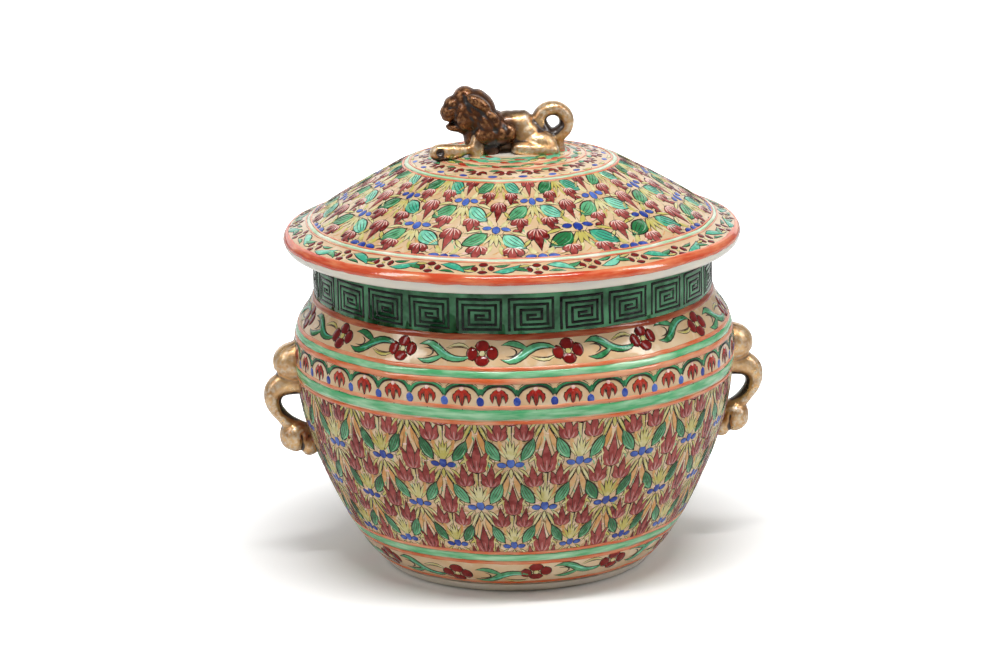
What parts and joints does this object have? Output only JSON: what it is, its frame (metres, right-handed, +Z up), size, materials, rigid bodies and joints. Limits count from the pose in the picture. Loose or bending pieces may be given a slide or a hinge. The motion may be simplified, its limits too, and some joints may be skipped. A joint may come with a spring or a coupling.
{
  "type": "benjarong lidded jar",
  "caption": "Squat round porcelain jar with a short straight neck, a domed lift-off lid with a reclining lion knob, and a looped strap handle on each side.",
  "frame": {"origin": "centre of the underside of the foot ring, on the surface the jar stands on", "axes": "+Z up along the axis of the jar; the two handles lie along X; the lion on the lid looks towards -X"},
  "size_m": [0.1924, 0.172, 0.1823],
  "materials": {
    "painted_porcelain": "glossy clear glaze over a peach ground with raised enamels in red, green, yellow, blue and orange",
    "bare_porcelain": "unglazed biscuit, matt and slightly grey, where the piece stood in the kiln",
    "gilding": "worn gold over glazed porcelain, satin, dark in the hollows and pale where it has rubbed",
    "dark_gilding": "red-brown gold on the mane, satin, with dark hollows"
  },
  "bodies": {
    "jar": {"jar_body": "painted_porcelain", "foot_ring": "bare_porcelain", "left_handle_loop": "gilding", "left_handle_upper_leaf": "gilding", "left_handle_lower_leaf": "gilding", "left_handle_small_leaf": "gilding", "right_handle_loop": "gilding", "right_handle_upper_leaf": "gilding", "right_handle_lower_leaf": "gilding", "right_handle_small_leaf": "gilding"},
    "lid": {"lid_dome": "painted_porcelain", "lid_flange": "bare_porcelain", "lion_body": "gilding", "lion_head": "dark_gilding", "lion_tail": "gilding", "lion_left_foreleg": "gilding", "lion_right_foreleg": "gilding", "lion_left_hind_leg": "gilding", "lion_right_hind_leg": "gilding"}
  },
  "joints": [
    {"name": "lid_lift", "type": "slide", "parent": "jar", "child": "lid", "axis": [0, 0, 1], "range_m": [0, 0.1]}
  ]
}
